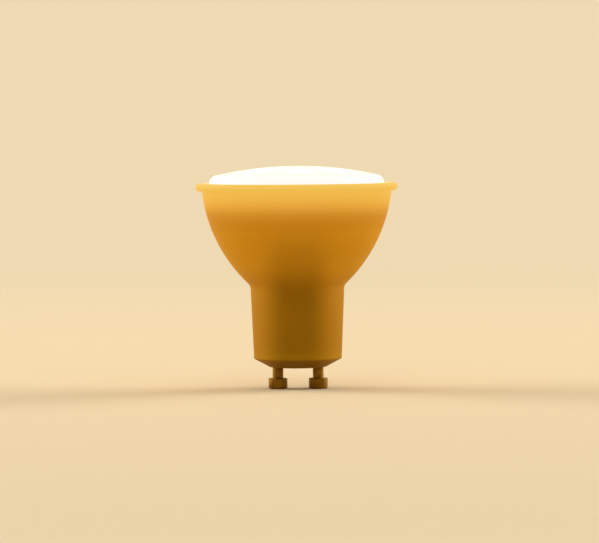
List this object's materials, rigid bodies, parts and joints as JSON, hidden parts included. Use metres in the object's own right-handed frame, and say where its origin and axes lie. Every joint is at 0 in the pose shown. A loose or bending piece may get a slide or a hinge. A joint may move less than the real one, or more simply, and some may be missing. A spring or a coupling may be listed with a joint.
{
  "type": "gu10 spotlight bulb",
  "caption": "Spotlight bulb with a twist-lock pin base, a bowl-shaped amber housing, a flat rim and a domed milky diffuser over a ring of LEDs on a pressed heat sink.",
  "frame": {"origin": "midway between the two pins, at their tips", "axes": "+Z along the lamp's axis from the pins to the diffuser, X through both pins"},
  "size_m": [0.05, 0.05, 0.0553],
  "materials": {
    "housing_plastic": "satin amber moulding",
    "diffuser_plastic": "milky, lit from behind",
    "pin_metal": "turned, dull bronze tone",
    "dish_metal": "pressed sheet",
    "led_board_mask": "white solder mask",
    "led_package": "white frame with yellow phosphor",
    "screw_steel": "plated",
    "circuit_board": "green solder mask",
    "capacitor_sleeve": "shrunk sleeve",
    "ferrite": "ground ferrite",
    "winding_copper": "enamelled copper wire",
    "film_case": "moulded box",
    "fuse_case": "moulded box",
    "chip_black": "moulded package",
    "resistor_ceramic": "glazed chip",
    "lead_sleeve": "white insulation"
  },
  "bodies": {
    "root": {"housing": "housing_plastic", "diffuser": "diffuser_plastic", "contact_pin_left": "pin_metal", "contact_pin_right": "pin_metal", "heat_sink_dish": "dish_metal", "led_board": "led_board_mask", "led_1": "led_package", "led_2": "led_package", "led_3": "led_package", "led_4": "led_package", "led_5": "led_package", "led_6": "led_package", "led_7": "led_package", "led_8": "led_package", "board_screw_1": "screw_steel", "board_screw_2": "screw_steel", "driver_board": "circuit_board", "smoothing_capacitor": "capacitor_sleeve", "choke_core": "ferrite", "choke_winding": "winding_copper", "film_capacitor": "film_case", "fuse": "fuse_case", "rectifier": "chip_black", "driver_chip": "chip_black", "chip_resistor_1": "resistor_ceramic", "chip_resistor_2": "resistor_ceramic", "chip_resistor_3": "resistor_ceramic", "mains_lead_left": "lead_sleeve", "mains_lead_right": "lead_sleeve", "led_lead_left": "lead_sleeve", "led_lead_right": "lead_sleeve"}
  },
  "joints": []
}
